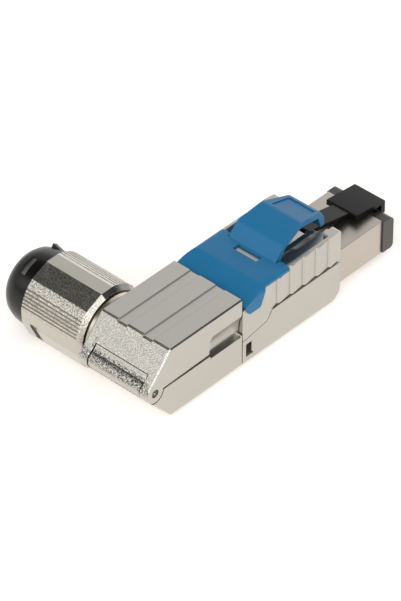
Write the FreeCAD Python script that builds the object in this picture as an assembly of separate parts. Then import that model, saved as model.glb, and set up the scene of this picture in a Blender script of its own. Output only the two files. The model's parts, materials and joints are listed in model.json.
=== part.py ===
import FreeCAD, Part

import math
import os

from FreeCAD import Vector

# Shielded 8-pole modular plug whose cable leaves it sideways through a gland.
# While it is modelled, X = 0 is the joint between the rear and the front block, the plug's own axis
# runs along +X to the nose, the gland's axis runs along +Y, and Z = 0 is the height of the gland's axis.
# Every piece is moved at the end, so that the origin is the centre of the nose's front face.

# Driving sizes of the rear block, in millimetres
block_width = 14.0
block_wall = 1.1
rear_half_height = 6.4
rear_top_length = 15.8
rear_bottom_length = 15.7
pin_back = 19.1
pin_radius = 0.65
knuckle_radius = 1.7
barrel_radius = 1.6
barrel_half_length = 5.2
slot_height = 2.6
gland_back = 12.55
lid_groove_width = 1.6
lid_groove_offset = 2.6
lid_groove_depth = 0.2
pry_length = 7.0
pry_rise = 3.3
pry_drop = 0.75
pry_depth = 0.75
pry_bend_depth = 0.56
pry_taper = 2.6
pry_end_radius = 0.9
pry_notch_depth = 0.85
pry_notch_radius = 0.3
barrel_shelf = 0.85
barrel_shelf_depth = 0.25
barrel_shelf_margin = 0.5
tongue_sink = 0.35
pin_recess = 0.8

# Driving sizes of the front block
front_length = 22.5
lower_front_setback = 0.3
front_corner_radius = 2.2
saddle_rear_level = 3.9
saddle_ramp_length = 4.8
saddle_ramp_radius = 1.5
rail_drop = 0.1
channel_depth = 1.1
rail_corner = 0.5
rail_width = 0.9
rail_front_width = 1.8
rail_front_length = 2.6
latch_slot_half_width = 3.8
latch_slot_back = 15.5
latch_slot_level = 1.3
parting_level = 0.45
parting_step_start = 5.5
parting_step_end = 6.9
parting_step_level = -1.1
parting_step_radius = 0.6
parting_rear_level = -2.0
grip_pitch = 2.91
grip_depth = 0.28
grip_step = 0.25
front_roof = 0.8
snap_window_start = 1.0
snap_window_length = 1.25
snap_window_top = -3.1
snap_window_height = 2.0
coupling_length = 1.35
coupling_wall = 0.6
lip_height = 0.7
lip_wall = 0.5

# Driving sizes of the nose
nose_width = 11.68
nose_top = 0.9
nose_height = 6.35
nose_end = 36.1
head_length = 2.5
head_inset = 0.15
shield_width = 11.1
shield_sheet = 0.25
shield_start = 15.0
shield_mouth_length = 3.6
head_top_radius = 1.0
head_bottom_radius = 0.7

# Driving sizes of the contacts, the board and the terminals
pole_count = 8
contact_pitch = 1.02
contact_thickness = 0.35
contact_slot_clearance = 0.05
contact_bar_length = 4.6
contact_bar_height = 0.7
contact_recess = 0.3
contact_setback = 1.5
contact_leg_height = 0.3
contact_chamfer = 0.4
board_start = 2.6
board_end = 17.4
board_half_width = 5.0
board_top = -0.4
board_thickness = 1.6
terminal_pitch = 2.7
terminal_width = 1.6
terminal_thickness = 0.4
terminal_back = 1.7
terminal_lap = 1.6
fork_slit = 0.3
fork_slit_length = 1.7
block_back = 1.0
block_length = 4.8
block_half_width = 5.0
block_top = 1.9
block_corner = 0.5
manager_length = 4.2
wire_channel_width = 1.3
wire_seat = 0.45
fork_clearance = 0.1

# Driving sizes of the latch
latch_width = 6.1
latch_tail_width = 3.25
latch_front = 37.2
latch_head_length = 6.9
latch_head_top = 2.48
latch_head_front_top = 1.7
latch_head_thickness = 0.95
latch_head_front_bottom = -0.8
latch_front_wall = 0.85
latch_web = 0.5
latch_hollow = 0.24
latch_edge_radius = 0.3
latch_rear_radius = 0.2
latch_barrel_radius = 0.55
latch_barrel_inset = 1.1
latch_barrel_depth = 0.75
latch_tail_thickness = 0.8
latch_tail_drop = 0.2
latch_tail_slope = 0.2126
latch_tail_end = 20.5
latch_tail_lap = 1.0
latch_tail_taper = 0.2
latch_slot_spread = 0.45

# Driving sizes of the release clip and its lever
clip_thickness = 0.8
clip_length = 10.5
clip_edge_radius = 0.9
ear_thickness = 0.4
ear_bottom = 3.0
ear_top_length = 5.1
ear_tip_start = 1.1
ear_tip_end = 3.6
ear_corner = 0.5
ear_slant_start = 0.3
ear_slant_level = 4.8
ear_slant_width = 1.0
clip_window_start = 8.0
clip_window_length = 1.3
clip_window_half_width = 2.4
lever_hinge_x = 10.0
lever_hinge_drop = 0.5
lever_barrel_radius = 0.55
lever_root_half_width = 4.75
lever_front_half_width = 3.0
lever_taper_start = 1.0
lever_thickness = 1.0
lever_heel_back = 0.35
lever_heel_rise = 0.45
lever_toe = 0.3
lever_bend_x = 11.7
lever_bend_rise = 3.0
lever_bend_radius = 1.6
lever_crest_x = 16.3
lever_crest_rise = 4.2
lever_crest_radius = 1.6
lever_nose_x = 21.8
lever_nose_rise = 2.7
lever_nose_radius = 0.9
lever_front = 22.85
lever_front_rise = 1.0
lever_lip_drop = 0.3
lever_edge_radius = 0.2
lever_inner_radius = 0.5
panel_inset = 0.7
panel_side = 0.35
panel_depth = 0.2
spring_sheet = 0.25
spring_start = 11.9
spring_bridge = 2.0
spring_arm_width = 0.9
spring_arm_offset = 2.5
spring_bend = 19.6
spring_tip = 20.9
spring_tip_drop = 0.4

# Driving sizes of the gland
bore_radius = 3.9
neck_radius = 4.6
flange_radius = 5.0
flange_thickness = 1.0
collar_radius = 6.2
collar_thickness = 0.8
thread_radius = 5.0
neck_end = 15.2
cone_length = 2.6
cone_radius = 4.5
collet_bore_radius = 3.4
collet_root = 0.8
collet_slot = 0.5
collet_slots = 4
nut_start = 8.05
nut_bevel = 0.8
nut_end = 20.3
nut_radius = 7.1
nut_bevel_ratio = 0.9
nut_rib_count = 7
nut_rib_depth = 0.16
nut_rib_share = 0.6
nut_flat_angle = 28.5
nut_side_angle = 10.0
nut_lead_angle = 19.0
nut_turn = 115.0
nut_chamber_radius = 5.9
nut_chamber_start = 15.4
cap_radius = 6.43
cap_shoulder = 1.6
cap_length = 5.55
cap_mouth_radius = 4.3
cap_dome_bands = 4
cap_spigot_length = 1.4
cap_slot_width = 3.3
cap_slot_length = 1.0
cap_slot_start = 2.0
cap_lug_drop = 0.2
cap_slot_floor = 0.6
cap_tab_turn = -60.0
cap_tab_width = 0.9
cap_tab_length = 1.8
cap_tab_root = 5.2
cap_tab_rise = 0.35
catch_width = 4.4
catch_length = 1.3
catch_setback = 1.85
catch_sink = 0.25
seal_thickness = 2.0
ring_thickness = 0.9
ring_radius = 5.2

# Fits and gaps
running_gap = 0.05
thread_gap = 0.08
shell_gap = 0.12
joint_gap = 0.15
slide_gap = 0.2
overcut = 1.0

# Sizes worked out from the driving ones
half_width = block_width / 2
inner_half_width = half_width - block_wall
nose_bottom = nose_top - nose_height
nose_middle = (nose_top + nose_bottom) / 2
head_start = nose_end - head_length
head_top = nose_top - head_inset
head_bottom = nose_bottom + head_inset
core_half_width = shield_width / 2 - shield_sheet
core_top = nose_top - shield_sheet
core_bottom = nose_bottom + shield_sheet
lower_front = front_length - lower_front_setback
saddle_level = rear_half_height - clip_thickness
rail_level = rear_half_height - rail_drop
channel_level = rail_level - channel_depth
floor_level = -rear_half_height + block_wall
board_bottom = board_top - board_thickness
latch_hinge_x = nose_end - latch_barrel_inset
latch_hinge_z = head_top - latch_barrel_depth
lever_hinge_z = saddle_level + clip_thickness - lever_hinge_drop
lever_bend = saddle_level + lever_bend_rise
lever_crest = saddle_level + lever_crest_rise
lever_nose = saddle_level + lever_nose_rise
lever_front_level = saddle_level + lever_front_rise
lever_lip_bottom = saddle_level - lever_lip_drop
lever_front_inner = lever_front - lever_thickness
collet_start = neck_end - cone_length
flange_end = inner_half_width - running_gap


# Shape helpers

def prism(points, axis, low, high):
    """Solid of an outline, swept along an axis; a third number of a point rounds its corner."""
    def place(a, b):
        if axis == "x":
            return Vector(low, a, b)
        if axis == "y":
            return Vector(a, low, b)
        return Vector(a, b, low)

    corners = [place(p[0], p[1]) for p in points]
    radii = [p[2] if len(p) > 2 else 0.0 for p in points]
    count = len(points)
    starts, ends, arcs = [], [], []
    for i in range(count):
        here = corners[i]
        to_last = (corners[i - 1] - here).normalize()
        to_next = (corners[(i + 1) % count] - here).normalize()
        if radii[i] == 0.0:
            starts.append(here)
            ends.append(here)
            arcs.append(None)
            continue
        half = to_last.getAngle(to_next) / 2
        reach = radii[i] / math.tan(half)
        centre = here + (to_last + to_next).normalize() * (radii[i] / math.sin(half))
        middle = centre + (here - centre).normalize() * radii[i]
        starts.append(here + to_last * reach)
        ends.append(here + to_next * reach)
        arcs.append(Part.Arc(starts[i], middle, ends[i]).toShape())
    edges = []
    for i in range(count):
        if arcs[i]:
            edges.append(arcs[i])
        following = starts[(i + 1) % count]
        if ends[i].distanceToPoint(following) > 1e-6:
            edges.append(Part.LineSegment(ends[i], following).toShape())
    face = Part.Face(Part.Wire(edges))
    sweep = {"x": Vector(high - low, 0, 0), "y": Vector(0, high - low, 0), "z": Vector(0, 0, high - low)}
    return face.extrude(sweep[axis])


def box(x0, x1, y0, y1, z0, z1):
    return Part.makeBox(x1 - x0, y1 - y0, z1 - z0, Vector(x0, y0, z0))


def mid_box(x0, x1, half_y, z0, z1):
    return box(x0, x1, -half_y, half_y, z0, z1)


def rod(x, z, radius, y0, y1):
    return Part.makeCylinder(radius, y1 - y0, Vector(x, y0, z), Vector(0, 1, 0))


def mirrored(shape):
    return shape.mirror(Vector(0, 0, 0), Vector(0, 1, 0))


def both_sides(shape):
    return [shape, mirrored(shape)]


def turned(points):
    """Solid of revolution about the gland's axis; each point is (radius, distance along +Y)."""
    corners = [Vector(-gland_back + radius, y, 0) for radius, y in points]
    wire = Part.makePolygon(corners + corners[:1])
    return Part.Face(wire).revolve(Vector(-gland_back, 0, 0), Vector(0, 1, 0), 360)


def around_gland(shape, angle):
    """Copy of a shape, turned about the gland's axis from +X towards +Z."""
    copy = shape.copy()
    copy.rotate(Vector(-gland_back, 0, 0), Vector(0, -1, 0), angle)
    return copy


def tangent_foot(corner, centre, radius, side):
    """Point where the line from a corner touches a circle, on the side given by +1 or -1."""
    dx, dz = centre[0] - corner[0], centre[1] - corner[1]
    distance = math.hypot(dx, dz)
    heading = math.atan2(dz, dx) + side * math.asin(radius / distance)
    reach = math.sqrt(distance ** 2 - radius ** 2)
    return corner[0] + reach * math.cos(heading), corner[1] + reach * math.sin(heading)


def offset_line(start, end, distance):
    """The same line moved sideways, to its right as seen from start to end."""
    dx, dz = end[0] - start[0], end[1] - start[1]
    length = math.hypot(dx, dz)
    shift = (dz / length * distance, -dx / length * distance)
    return (start[0] + shift[0], start[1] + shift[1]), (end[0] + shift[0], end[1] + shift[1])


def inset_corner(before, corner, after, distance):
    """Corner of the line that follows two stretches of an outline at a distance, to their right."""
    a, b = offset_line(before, corner, distance)
    c, d = offset_line(corner, after, distance)
    first = (b[0] - a[0], b[1] - a[1])
    second = (d[0] - c[0], d[1] - c[1])
    across = first[0] * second[1] - first[1] * second[0]
    share = ((c[0] - a[0]) * second[1] - (c[1] - a[1]) * second[0]) / across
    return a[0] + share * first[0], a[1] + share * first[1]


def at_height(start, end, z):
    """Point of a line at a given height."""
    share = (z - start[1]) / (end[1] - start[1])
    return start[0] + share * (end[0] - start[0]), z


# Rear block: both shells end in bevels that run tangent to the hinge knuckle

hinge = (-pin_back, 0.0)
lid_corner = (-rear_top_length, rear_half_height)
lid_foot = tangent_foot(lid_corner, hinge, knuckle_radius, -1)
base_corner = (-rear_bottom_length, -rear_half_height)
base_foot = tangent_foot(base_corner, hinge, knuckle_radius, 1)


def pry_scoop():
    """Hollow in the lid's side next to the joint, curved across and rounded at its rear end."""
    foot = pry_rise - pry_taper
    outside = -half_width - overcut
    top_out = Vector(0, outside, pry_rise)
    top_in = Vector(0, -half_width, pry_rise)
    bend = Vector(0, -half_width + pry_bend_depth, (pry_rise + foot) / 2)
    foot_in = Vector(0, -half_width + pry_depth, foot)
    low_in = Vector(0, -half_width + pry_depth, -overcut)
    low_out = Vector(0, outside, -overcut)
    edges = [
        Part.LineSegment(top_out, top_in).toShape(),
        Part.Arc(top_in, bend, foot_in).toShape(),
        Part.LineSegment(foot_in, low_in).toShape(),
        Part.LineSegment(low_in, low_out).toShape(),
        Part.LineSegment(low_out, top_out).toShape(),
    ]
    hollow = Part.Face(Part.Wire(edges)).extrude(Vector(-joint_gap - pry_length, 0, 0))
    rear = -joint_gap - pry_length
    side_view = [(rear, -overcut), (0.0, -overcut), (0.0, pry_rise), (rear, pry_rise, pry_end_radius)]
    return hollow.common(prism(side_view, "y", -half_width - overcut, -half_width + overcut))


def pry_notch():
    """Blind slot in the lower shell's side, for a screwdriver's blade under the lid's hollow."""
    rear = -joint_gap - pry_length
    outline = [(rear, -pry_drop, pry_notch_radius), (-joint_gap, -pry_drop, pry_notch_radius),
               (-joint_gap, pry_drop), (rear, pry_drop)]
    return prism(outline, "y", -half_width - overcut, -half_width + pry_notch_depth)


def rear_upper_shell():
    bottom = shell_gap / 2
    front = -joint_gap
    outer = prism([(front, bottom), (front, rear_half_height), lid_corner, lid_foot, hinge,
                   (-pin_back + knuckle_radius, bottom)], "y", -half_width, half_width)
    outer = outer.fuse(rod(hinge[0], hinge[1], knuckle_radius, -half_width, half_width))
    ceiling = rear_half_height - block_wall
    inner_top, inner_foot = offset_line(lid_foot, lid_corner, block_wall)
    inner_corner = at_height(inner_top, inner_foot, ceiling)
    low_corner = at_height(inner_top, inner_foot, -knuckle_radius - overcut)
    cavity = prism([(overcut, low_corner[1]), (overcut, ceiling), inner_corner, low_corner], "y",
                   -inner_half_width, inner_half_width)
    slot = mid_box(-pin_back - knuckle_radius - overcut, -pin_back + knuckle_radius + overcut,
                   barrel_half_length + slide_gap, -knuckle_radius - overcut, slot_height)
    lid = outer.cut([cavity, slot])
    pin_hole = rod(hinge[0], hinge[1], pin_radius + running_gap, -half_width - overcut, half_width + overcut)
    lid = lid.cut(pin_hole)
    # Sunk band over the slot, two shallow grooves and the finger hollows
    shelf_start, shelf_end = offset_line(lid_foot, lid_corner, barrel_shelf_depth)
    shelf_low = at_height(shelf_start, shelf_end, slot_height - overcut)
    shelf_high = at_height(shelf_start, shelf_end, slot_height + barrel_shelf)
    shelf_half = barrel_half_length + barrel_shelf_margin
    shelf = prism([shelf_low, shelf_high, (shelf_high[0] - overcut, shelf_high[1] + overcut),
                   (shelf_low[0] - overcut, shelf_low[1])], "y", -shelf_half, shelf_half)
    shelf_top = slot_height + barrel_shelf
    shelf_bottom = slot_height - barrel_shelf_margin
    corner = barrel_shelf_margin
    shelf_face = [(-shelf_half, shelf_bottom, corner), (shelf_half, shelf_bottom, corner),
                  (shelf_half, shelf_top, corner), (-shelf_half, shelf_top, corner)]
    shelf = shelf.common(prism(shelf_face, "x", -pin_back - barrel_shelf - overcut, -rear_top_length))
    grooves = []
    groove_floor = rear_half_height - lid_groove_depth
    for side in (-1, 1):
        middle = side * lid_groove_offset
        low, high = middle - lid_groove_width / 2, middle + lid_groove_width / 2
        lean = lid_groove_depth + overcut
        outline = [(low, groove_floor), (high, groove_floor), (high + lean, rear_half_height + overcut),
                   (low - lean, rear_half_height + overcut)]
        grooves.append(prism(outline, "x", -rear_top_length - overcut, overcut))
    arch = rod(-gland_back, 0.0, neck_radius + running_gap, 0, half_width + overcut)
    return lid.cut([shelf, arch] + grooves + both_sides(pry_scoop())).removeSplitter()


def rear_lower_shell():
    top = -shell_gap / 2
    front = -joint_gap
    outer = prism([(front, top), (front, -rear_half_height), base_corner, base_foot, hinge,
                   (-pin_back + knuckle_radius, top)], "y", -half_width, half_width)
    inner_start, inner_end = offset_line(base_corner, base_foot, block_wall)
    inner_low = at_height(inner_start, inner_end, floor_level)
    inner_high = at_height(inner_start, inner_end, overcut)
    cavity = prism([(overcut, overcut), (overcut, floor_level), inner_low, inner_high], "y",
                   -inner_half_width, inner_half_width)
    shell = outer.cut(cavity)
    # Sockets for the lid's lugs, and the barrel between them
    socket = rod(hinge[0], hinge[1], knuckle_radius + slide_gap, barrel_half_length, half_width + overcut)
    shell = shell.cut(both_sides(socket))
    barrel = rod(hinge[0], hinge[1], barrel_radius, -barrel_half_length, barrel_half_length)
    rib_half = block_wall / 2
    rib_foot = [(inner_low[0] + rib_half, inner_low[1] + rib_half), (inner_low[0] - rib_half, inner_low[1])]
    rib = prism([hinge, (hinge[0] + barrel_radius, hinge[1])] + rib_foot, "y",
                -barrel_half_length, barrel_half_length)
    flange_start = flange_end - flange_thickness - slide_gap
    flange_room = rod(-gland_back, 0.0, flange_radius + running_gap, flange_start, inner_half_width)
    tongue_start, tongue_end = offset_line(lid_foot, lid_corner, tongue_sink)
    tongue_back = hinge[0] + block_wall
    tongue_outline = [hinge, tongue_start, tongue_end, (tongue_back, tongue_end[1]), (tongue_back, 0.0)]
    tongue_side = prism(tongue_outline, "y", -barrel_half_length, barrel_half_length)
    tongue = tongue_side.common(rod(hinge[0], hinge[1], slot_height - joint_gap, -barrel_half_length,
                                    barrel_half_length))
    shell = shell.fuse(barrel.fuse([tongue, rib]).cut(flange_room))
    pin_bore = rod(hinge[0], hinge[1], pin_radius, -half_width - overcut, half_width + overcut)
    saddle = rod(-gland_back, 0.0, neck_radius, 0, half_width + overcut)
    return shell.cut([pin_bore, saddle] + both_sides(pry_notch())).removeSplitter()


def hinge_pin():
    return rod(hinge[0], hinge[1], pin_radius, -half_width + pin_recess, half_width - pin_recess)


# Front block: the line between its shells drops in a step towards the rear

def parting_points(shift, front):
    """Points of the front block's parting line from the joint to the nose, raised by a shift."""
    return [
        (0.0, parting_rear_level + shift),
        (parting_step_start, parting_step_level + shift, parting_step_radius),
        (parting_step_end, parting_level + shift, parting_step_radius),
        (front, parting_level + shift),
    ]


def saddle_points(lift):
    """Points of the surface that the release clip sits on, raised by a lift."""
    return [(0.0, saddle_rear_level + lift), (saddle_ramp_length, saddle_level + lift, saddle_ramp_radius),
            (clip_length, saddle_level + lift)]


def nose_opening(front):
    return mid_box(shield_start, front + overcut, shield_width / 2, nose_bottom, nose_top)


def snap_windows():
    """Small windows in both side walls, where the shells' inner catches show."""
    window = box(snap_window_start, snap_window_start + snap_window_length, -half_width - overcut,
                 -inner_half_width, snap_window_top - snap_window_height, snap_window_top)
    return both_sides(window)


def front_lower_shell():
    top = parting_points(-shell_gap / 2, lower_front)
    outline = [(0.0, -rear_half_height), (lower_front, -rear_half_height, front_corner_radius)]
    shell = prism(outline + top[::-1], "y", -half_width, half_width)
    end = lower_front - block_wall
    cavity = prism([(-overcut, floor_level), (end, floor_level), (end, overcut + parting_level),
                    (-overcut, overcut + parting_level)], "y", -inner_half_width, inner_half_width)
    shell = shell.cut([cavity, nose_opening(lower_front)] + snap_windows())
    # Inner lip that the upper shell slips over, and the collar that carries the rear block
    lip_outline = parting_points(-lip_height, end) + parting_points(lip_height, end)[::-1]
    lip = prism(lip_outline, "y", inner_half_width - lip_wall, inner_half_width)
    lip = lip.cut([terminal_room(i, slide_gap) for i in range(1, pole_count + 1)])
    collar_height = parting_rear_level - slide_gap
    collar_end = snap_window_start - slide_gap
    collar = mid_box(-coupling_length, collar_end, inner_half_width, floor_level, collar_height)
    collar = collar.cut(mid_box(-coupling_length - overcut, collar_end + overcut,
                                inner_half_width - coupling_wall, floor_level, collar_height + overcut))
    return shell.fuse(both_sides(lip.cut(nose_opening(end))) + [collar]).removeSplitter()


def grip_outline():
    """Plan outline of the ribbed block: each rib stands out at its rear and tapers to the front."""
    ribs = int((front_length - parting_step_start) / grip_pitch) + 1
    side = [(0.0, -half_width), (front_length - ribs * grip_pitch, -half_width)]
    for i in range(ribs):
        start = front_length - (ribs - i) * grip_pitch
        side.append((start + grip_step, -half_width))
        side.append((start + grip_pitch, -half_width + grip_depth))
    side = [side[0]] + side[2:]
    return side + [(x, -y) for x, y in side[::-1]]


def front_upper_shell():
    bottom = parting_points(shell_gap / 2, front_length)
    top = saddle_points(0.0)[::-1]
    rail = [(front_length, rail_level, rail_corner), (clip_length, rail_level)]
    outline = bottom + rail + top
    shell = prism(outline, "y", -half_width, half_width)
    grips = prism(grip_outline(), "z", parting_rear_level - overcut, rail_level + overcut)
    shell = shell.common(grips)
    # Channel for the latch and the lever, wider between the rails than at the front
    rail_end = front_length - rail_front_length
    channel = mid_box(clip_length, rail_end, half_width - rail_width, channel_level, rail_level + overcut)
    mouth = mid_box(rail_end, front_length + overcut, half_width - rail_front_width, channel_level,
                    rail_level + overcut)
    slot = mid_box(latch_slot_back, front_length + overcut, latch_slot_half_width, latch_slot_level,
                   rail_level + overcut)
    roof = channel_level - front_roof
    cavity_end = front_length - block_wall
    cavity_bottom = parting_rear_level - overcut
    cavity = prism([(-overcut, cavity_bottom), (cavity_end, cavity_bottom), (cavity_end, roof),
                    (saddle_ramp_length, roof), (-overcut, saddle_rear_level - front_roof)], "y",
                   -inner_half_width, inner_half_width)
    shell = shell.cut([channel, mouth, cavity])
    # Trough under the latch's tail, closed below and behind
    trough = mid_box(latch_slot_back - block_wall, front_length, latch_slot_half_width + block_wall,
                     latch_slot_level - front_roof + shell_gap, channel_level)
    lip_room = both_sides(box(0, front_length, inner_half_width - lip_wall, inner_half_width,
                              parting_rear_level - overcut, parting_level + lip_height))
    trough = trough.cut(lip_room)
    shell = shell.fuse(trough).cut([slot, nose_opening(front_length)])
    # Room for the lever's barrel, and the lug that shows in the clip's window
    root_half = lever_root_half_width + slide_gap
    barrel_room = rod(lever_hinge_x, lever_hinge_z, lever_barrel_radius + running_gap, -root_half, root_half)
    root_end = clip_length + overcut
    root_room = mid_box(lever_hinge_x, root_end, root_half, channel_level, saddle_level + overcut)
    shell = shell.cut([barrel_room, root_room])
    lug_margin = slide_gap / 2
    lug_end = clip_window_start + clip_window_length - lug_margin
    lug = mid_box(clip_window_start + lug_margin, lug_end, clip_window_half_width - lug_margin,
                  saddle_level - front_roof, saddle_level + clip_thickness / 2)
    return shell.fuse(lug).removeSplitter()


# Nose

def contact_y(index):
    return (index - (pole_count + 1) / 2) * contact_pitch


def contact_carrier():
    front = [
        (head_start, head_bottom),
        (nose_end, head_bottom, head_bottom_radius),
        (nose_end, head_top, head_top_radius),
        (head_start, head_top),
    ]
    head = prism(front, "y", -nose_width / 2, nose_width / 2)
    core = mid_box(shield_start, head_start, core_half_width, core_bottom, core_top)
    body = head.fuse(core).removeSplitter()
    board_slot = mid_box(shield_start - overcut, board_end, board_half_width, board_bottom, board_top)
    cuts = [board_slot]
    slot_half = contact_thickness / 2 + contact_slot_clearance
    contact_end = nose_end - contact_setback
    bar_room = contact_end - contact_bar_length - slide_gap
    leg_floor = board_bottom - contact_leg_height
    for index in range(1, pole_count + 1):
        low = contact_y(index) - slot_half
        high = contact_y(index) + slot_half
        cuts.append(box(shield_start - overcut, contact_end, low, high, leg_floor, board_bottom))
        cuts.append(box(bar_room, nose_end + overcut, low, high, nose_bottom - overcut, leg_floor))
        slit_floor = leg_floor - overcut
        cuts.append(box(contact_end - overcut, nose_end + overcut, low, high, slit_floor, board_bottom))
    # Socket that the latch's barrel snaps into, open to the top
    half = latch_width / 2 + slide_gap
    web_half = latch_web / 2
    cuts.append(rod(latch_hinge_x, latch_hinge_z, latch_barrel_radius + running_gap, -half, half))
    throat = [
        (latch_hinge_x - web_half - running_gap, latch_hinge_z),
        (latch_hinge_x + web_half + running_gap, latch_hinge_z),
        (latch_hinge_x + web_half + latch_slot_spread, head_top + overcut),
        (latch_hinge_x - web_half - latch_slot_spread, head_top + overcut),
    ]
    cuts.append(prism(throat, "y", -half, half))
    return body.cut(cuts)


def nose_shield():
    outer = mid_box(shield_start, head_start, shield_width / 2, nose_bottom, nose_top)
    inner = mid_box(shield_start - overcut, head_start + overcut, core_half_width, core_bottom, core_top)
    mouth_half = contact_y(pole_count) + contact_pitch
    mouth = mid_box(head_start - shield_mouth_length, head_start + overcut, mouth_half,
                    nose_bottom - overcut, core_bottom)
    return outer.cut([inner, mouth])


def contact(index):
    """J-shaped blade: a leg to the board and a bar that the jack's springs press on."""
    y = contact_y(index)
    front = nose_end - contact_setback
    bar_bottom = head_bottom + contact_recess
    bar_top = bar_bottom + contact_bar_height
    leg_bottom = board_bottom - contact_leg_height
    outline = [
        (shield_start + slide_gap, board_bottom),
        (shield_start + slide_gap, leg_bottom),
        (front - contact_bar_height, leg_bottom),
        (front - contact_bar_height, bar_top),
        (front - contact_bar_length, bar_top),
        (front - contact_bar_length, bar_bottom),
        (front - contact_chamfer, bar_bottom),
        (front, bar_bottom + contact_chamfer),
        (front, board_bottom),
    ]
    return prism(outline, "y", y - contact_thickness / 2, y + contact_thickness / 2)


# Board, terminals and wire manager

def circuit_board():
    return mid_box(board_start, board_end, board_half_width, board_bottom, board_top)


def terminal_place(index):
    """Side position and level of a terminal: half of them lie on top of the board and half below it."""
    row = pole_count // 2
    column = (index - 1) % row
    y = (column - (row - 1) / 2) * terminal_pitch
    low = board_top if index <= row else board_bottom - terminal_thickness
    return y, low


def terminal(index):
    y, low = terminal_place(index)
    half = terminal_width / 2
    slit = fork_slit / 2
    back = -terminal_back
    outline = [
        (back, y - half), (back, y - slit), (back + fork_slit_length, y - slit),
        (back + fork_slit_length, y + slit), (back, y + slit), (back, y + half),
        (board_start + terminal_lap, y + half), (board_start + terminal_lap, y - half),
    ]
    return prism(outline, "z", low, low + terminal_thickness)


def terminal_room(index, clearance):
    """Room for a terminal in its block, with clearance all round but on the board's side."""
    y, low = terminal_place(index)
    half = terminal_width / 2 + clearance
    upper = index <= pole_count // 2
    bottom = low - (0 if upper else clearance)
    top = low + terminal_thickness + (clearance if upper else 0)
    return box(-terminal_back - overcut, board_start + overcut, y - half, y + half, bottom, top)


def terminal_block():
    back = -block_back
    front = back + block_length
    body = prism([(back, floor_level), (front, floor_level), (front, block_top, block_corner),
                  (back, block_top, block_corner)], "y", -block_half_width, block_half_width)
    cuts = [terminal_room(i, running_gap) for i in range(1, pole_count + 1)]
    terminal_reach = terminal_thickness + running_gap
    cuts.append(mid_box(board_start, front + overcut, block_half_width + overcut, board_bottom, board_top))
    cuts.append(mid_box(board_start - overcut, front + overcut, block_half_width + overcut,
                        board_bottom - terminal_reach, board_top + terminal_reach))
    return body.cut(cuts)


def wire_manager():
    """Comb that lays each wire over its fork: channels open to the top and to the bottom."""
    front = -block_back
    back = front - manager_length
    bottom = board_bottom - (block_top - board_top)
    body = mid_box(back, front, block_half_width, bottom, block_top)
    fork_zone = mid_box(-terminal_back - fork_clearance, front + overcut, block_half_width, bottom, block_top)
    cuts = [terminal_room(i, fork_clearance).common(fork_zone) for i in range(1, pole_count + 1)]
    half = wire_channel_width / 2
    for index in range(1, pole_count + 1):
        y, low = terminal_place(index)
        middle = low + terminal_thickness / 2
        if index <= pole_count // 2:
            ends = (middle - wire_seat, block_top + overcut)
        else:
            ends = (bottom - overcut, middle + wire_seat)
        cuts.append(box(back - overcut, front + overcut, y - half, y + half, *ends))
    return body.cut(cuts)


# Latch

def latch_lever():
    head_back = latch_front - latch_head_length
    wall_back = latch_front - latch_front_wall
    under = head_top + slide_gap
    head_outline = [
        (head_back, latch_head_top - latch_head_thickness),
        (latch_hinge_x - latch_web / 2, under + latch_hollow),
        (wall_back, under + latch_hollow),
        (wall_back, latch_head_front_bottom),
        (latch_front, latch_head_front_bottom, latch_edge_radius),
        (latch_front, latch_head_front_top, latch_edge_radius),
        (head_back, latch_head_top, latch_rear_radius),
    ]
    head = prism(head_outline, "y", -latch_width / 2, latch_width / 2)
    barrel_half = latch_width / 2
    barrel = rod(latch_hinge_x, latch_hinge_z, latch_barrel_radius, -barrel_half, barrel_half)
    web = box(latch_hinge_x - latch_web / 2, latch_hinge_x + latch_web / 2, -barrel_half, barrel_half,
              latch_hinge_z, latch_head_front_top)
    lap = head_back + latch_tail_lap
    lap_top = latch_head_top - latch_tail_drop - latch_tail_lap * latch_tail_slope
    end_top = lap_top + (lap - latch_tail_end) * latch_tail_slope
    tail_outline = [
        (lap, lap_top),
        (latch_tail_end, end_top, latch_edge_radius),
        (latch_tail_end, end_top - latch_tail_thickness, latch_edge_radius),
        (lap, lap_top - latch_tail_thickness + latch_tail_taper),
    ]
    tail = prism(tail_outline, "y", -latch_tail_width / 2, latch_tail_width / 2)
    return head.fuse([barrel, web, tail]).removeSplitter()


# Release clip, lever and return spring

def release_clip():
    under = saddle_points(0.0)
    over = saddle_points(clip_thickness)
    plate = prism(under + over[::-1], "y", -half_width, half_width)
    # The long edges of the saddle are rounded over the block's sides
    level = saddle_level + clip_thickness
    side = half_width + ear_thickness
    rounding = clip_edge_radius + ear_thickness
    profile = [(-side, ear_bottom), (side, ear_bottom), (side, level, rounding), (-side, level, rounding)]
    ramp_start = saddle_rear_level + clip_thickness
    tip = [(ear_tip_start, ear_bottom, ear_corner), (ear_tip_end, ear_bottom, ear_corner)]
    ear = prism([(0.0, ramp_start)] + tip + [(ear_top_length, level), (saddle_ramp_length, level)], "y",
                -side, -half_width)
    clip = plate.fuse(both_sides(ear))
    clip = clip.common(prism(profile, "x", 0.0, clip_length))
    window = mid_box(clip_window_start, clip_window_start + clip_window_length, clip_window_half_width,
                     saddle_level - overcut, level + overcut)
    notch_half = lever_root_half_width + slide_gap
    notch = mid_box(lever_hinge_x, clip_length + overcut, notch_half, saddle_level, level + overcut)
    socket = rod(lever_hinge_x, lever_hinge_z, lever_barrel_radius + running_gap, -notch_half, notch_half)
    slant = [(-overcut, ear_bottom - overcut), (ear_tip_start, ear_bottom - overcut)]
    slant += [(ear_tip_start, ear_bottom), (ear_slant_start, ear_slant_level)]
    slant += [(ear_slant_start, level), (-overcut, level)]
    corner = prism(slant, "y", -side - overcut, -half_width + ear_slant_width)
    return clip.cut([window, notch, socket] + both_sides(corner))


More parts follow.
